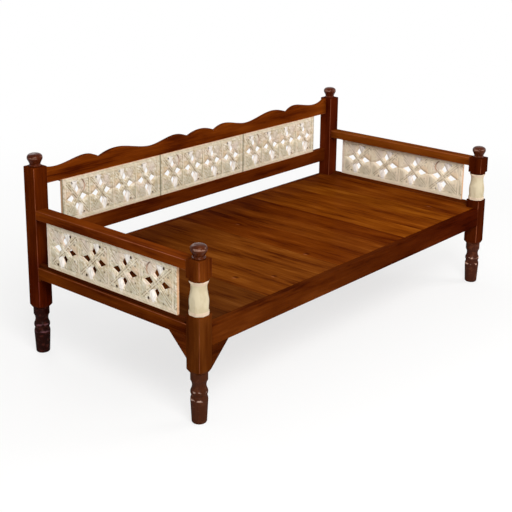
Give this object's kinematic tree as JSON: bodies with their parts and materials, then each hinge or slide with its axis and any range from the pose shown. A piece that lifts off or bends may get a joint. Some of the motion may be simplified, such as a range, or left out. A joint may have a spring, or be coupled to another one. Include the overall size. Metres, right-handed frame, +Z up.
{
  "type": "daybed",
  "caption": "Low wooden daybed with a planked seat, turned posts, pierced lattice panels in the arms and back, and a scalloped crest rail.",
  "frame": {"origin": "on the floor, at the middle of the plan", "axes": "+X to the sitter's left along the length, +Y from the open front to the back, +Z up"},
  "size_m": [2.1, 1.02, 0.895],
  "materials": {
    "stained_pine": "satin varnish",
    "bare_pine": "planed",
    "cream_lattice": "matte paint",
    "screws": "zinc"
  },
  "bodies": {
    "root": {"arm_panel_dowels": "bare_pine", "back_panel_left": "cream_lattice", "back_panel_middle": "cream_lattice", "back_panel_pins": "screws", "back_panel_right": "cream_lattice", "centre_bearer": "bare_pine", "crest_rail": "stained_pine", "cross_rail_left": "bare_pine", "cross_rail_right": "bare_pine", "deck_board_01": "stained_pine", "deck_board_02": "stained_pine", "deck_board_03": "stained_pine", "deck_board_04": "stained_pine", "deck_board_05": "stained_pine", "deck_board_06": "stained_pine", "deck_board_07": "stained_pine", "deck_board_08": "stained_pine", "deck_board_09": "stained_pine", "deck_board_10": "stained_pine", "deck_board_11": "stained_pine", "deck_board_12": "stained_pine", "deck_screws": "screws", "front_apron": "stained_pine", "front_gusset": "stained_pine", "front_ledger": "bare_pine", "front_left_finial": "stained_pine", "front_left_post": "stained_pine", "front_right_finial": "stained_pine", "front_right_post": "stained_pine", "gusset_screws": "screws", "ledger_screws": "screws", "left_arm_panel": "cream_lattice", "left_arm_rail": "stained_pine", "left_gusset": "stained_pine", "left_panel_cleat": "stained_pine", "left_side_apron": "stained_pine", "lower_back_bead": "stained_pine", "lower_back_rail": "stained_pine", "rear_apron": "stained_pine", "rear_ledger": "bare_pine", "rear_left_corner_block": "stained_pine", "rear_left_finial": "stained_pine", "rear_left_post": "stained_pine", "rear_right_finial": "stained_pine", "rear_right_post": "stained_pine", "right_arm_panel": "cream_lattice", "right_arm_rail": "stained_pine", "right_panel_cleat": "stained_pine", "right_side_apron": "stained_pine", "upper_back_bead": "stained_pine"}
  },
  "joints": []
}
